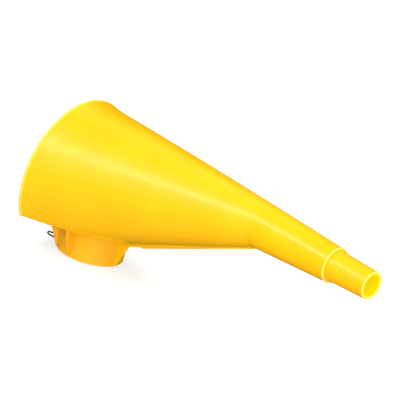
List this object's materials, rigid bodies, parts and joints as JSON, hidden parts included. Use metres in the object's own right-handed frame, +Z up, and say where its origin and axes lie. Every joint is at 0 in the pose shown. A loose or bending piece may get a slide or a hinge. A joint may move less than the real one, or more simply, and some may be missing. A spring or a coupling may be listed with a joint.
{
  "type": "safety can funnel",
  "caption": "Pouring funnel that sits on a can's neck: wide cut-off mouth, floor with a gusseted collar and spring clip, long cone, level stepped spout.",
  "frame": {"origin": "centre of the collar's bore at its foot", "axes": "+Z up along the collar's bore, +X along the spout towards its tip, XZ is the plane of symmetry"},
  "size_m": [0.2862, 0.1154, 0.1081],
  "materials": {
    "cone_plastic": "smooth moulded polyethylene, satin gloss",
    "tip_plastic": "smooth drawn polyethylene tube, satin gloss",
    "collar_plastic": "moulded polyethylene, satin",
    "spring_wire": "brown tempered spring wire"
  },
  "bodies": {
    "funnel": {"funnel_body": "cone_plastic", "mouth_rim": "cone_plastic", "neck_tube": "cone_plastic", "spout_tip": "tip_plastic", "keel_rib": "cone_plastic", "collar_ring": "collar_plastic", "collar_gussets": "collar_plastic", "clip_bow": "spring_wire"},
    "left_arm": {"clip_arm_left": "spring_wire"},
    "right_arm": {"clip_arm_right": "spring_wire"}
  },
  "joints": [
    {"name": "left_arm_spread", "type": "hinge", "parent": "funnel", "child": "left_arm", "pos_m": [0.02192, 0.00508, 0.0035], "axis": [0, 0, -1], "range_deg": [0, 2.5], "stiffness_Nm_per_rad": 0.3},
    {"name": "right_arm_spread", "type": "hinge", "parent": "funnel", "child": "right_arm", "pos_m": [0.02192, -0.00508, 0.0035], "axis": [0, 0, 1], "range_deg": [0, 2.5], "stiffness_Nm_per_rad": 0.3}
  ]
}
